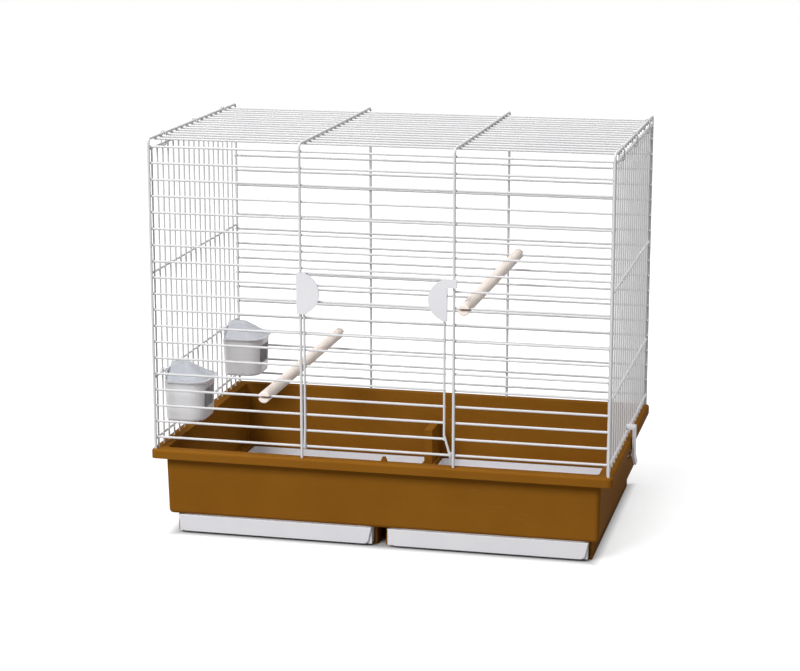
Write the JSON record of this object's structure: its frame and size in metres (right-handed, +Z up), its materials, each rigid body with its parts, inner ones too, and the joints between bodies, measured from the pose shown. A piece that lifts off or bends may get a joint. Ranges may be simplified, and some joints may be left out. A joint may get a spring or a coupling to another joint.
{
  "type": "parrot cage",
  "caption": "Free-standing parrot cage: welded wire top with a drop-down door, hooded feeders, wooden perches and slide-out drawers in a moulded base.",
  "frame": {"origin": "on the ground under the middle of the cage", "axes": "+X to the right of someone who faces the door, +Y from the door to the back, +Z up"},
  "size_m": [0.5114, 0.318, 0.4355],
  "materials": {
    "brown_plastic": "satin",
    "coated_wire": "satin",
    "white_plastic": "satin",
    "perch_wood": "bare"
  },
  "bodies": {
    "cage": {"base": "brown_plastic", "front_panel": "coated_wire", "back_panel": "coated_wire", "roof_panel": "coated_wire", "left_panel": "coated_wire", "right_panel": "coated_wire", "left_ties": "coated_wire", "right_ties": "coated_wire"},
    "door_leaf": {"door": "coated_wire", "door_catch_left": "white_plastic", "door_catch_right": "white_plastic"},
    "left_drawer": {"drawer_left": "white_plastic"},
    "right_drawer": {"drawer_right": "white_plastic"},
    "left_clip": {"clip_left": "white_plastic"},
    "right_clip": {"clip_right": "white_plastic"},
    "front_feeder": {"feeder_front_cup": "white_plastic", "feeder_front_hood": "white_plastic"},
    "back_feeder": {"feeder_back_cup": "white_plastic", "feeder_back_hood": "white_plastic"},
    "left_perch": {"perch_left": "perch_wood"},
    "right_perch": {"perch_right": "perch_wood"}
  },
  "joints": [
    {"name": "door_hinge", "type": "hinge", "parent": "cage", "child": "door_leaf", "pos_m": [0, -0.151, 0.109], "axis": [1, 0, 0], "range_deg": [0, 110]},
    {"name": "drawer_left_slide", "type": "slide", "parent": "cage", "child": "left_drawer", "axis": [0, -1, 0], "range_m": [0, 0.25]},
    {"name": "drawer_right_slide", "type": "slide", "parent": "cage", "child": "right_drawer", "axis": [0, -1, 0], "range_m": [0, 0.25]},
    {"name": "clip_left_hinge", "type": "hinge", "parent": "cage", "child": "left_clip", "pos_m": [-0.2465, 0, 0.0805], "axis": [0, -1, 0], "range_deg": [0, 70]},
    {"name": "clip_right_hinge", "type": "hinge", "parent": "cage", "child": "right_clip", "pos_m": [0.2465, 0, 0.0805], "axis": [0, 1, 0], "range_deg": [0, 70]},
    {"name": "feeder_front_lift", "type": "slide", "parent": "cage", "child": "front_feeder", "axis": [0, 0, 1], "range_m": [0, 0.02]},
    {"name": "feeder_back_lift", "type": "slide", "parent": "cage", "child": "back_feeder", "axis": [0, 0, 1], "range_m": [0, 0.02]},
    {"name": "perch_left_slide", "type": "slide", "parent": "cage", "child": "left_perch", "axis": [1, 0, 0], "range_m": [-0.055, 0.03]},
    {"name": "perch_right_slide", "type": "slide", "parent": "cage", "child": "right_perch", "axis": [1, 0, 0], "range_m": [0, 0.13]}
  ]
}
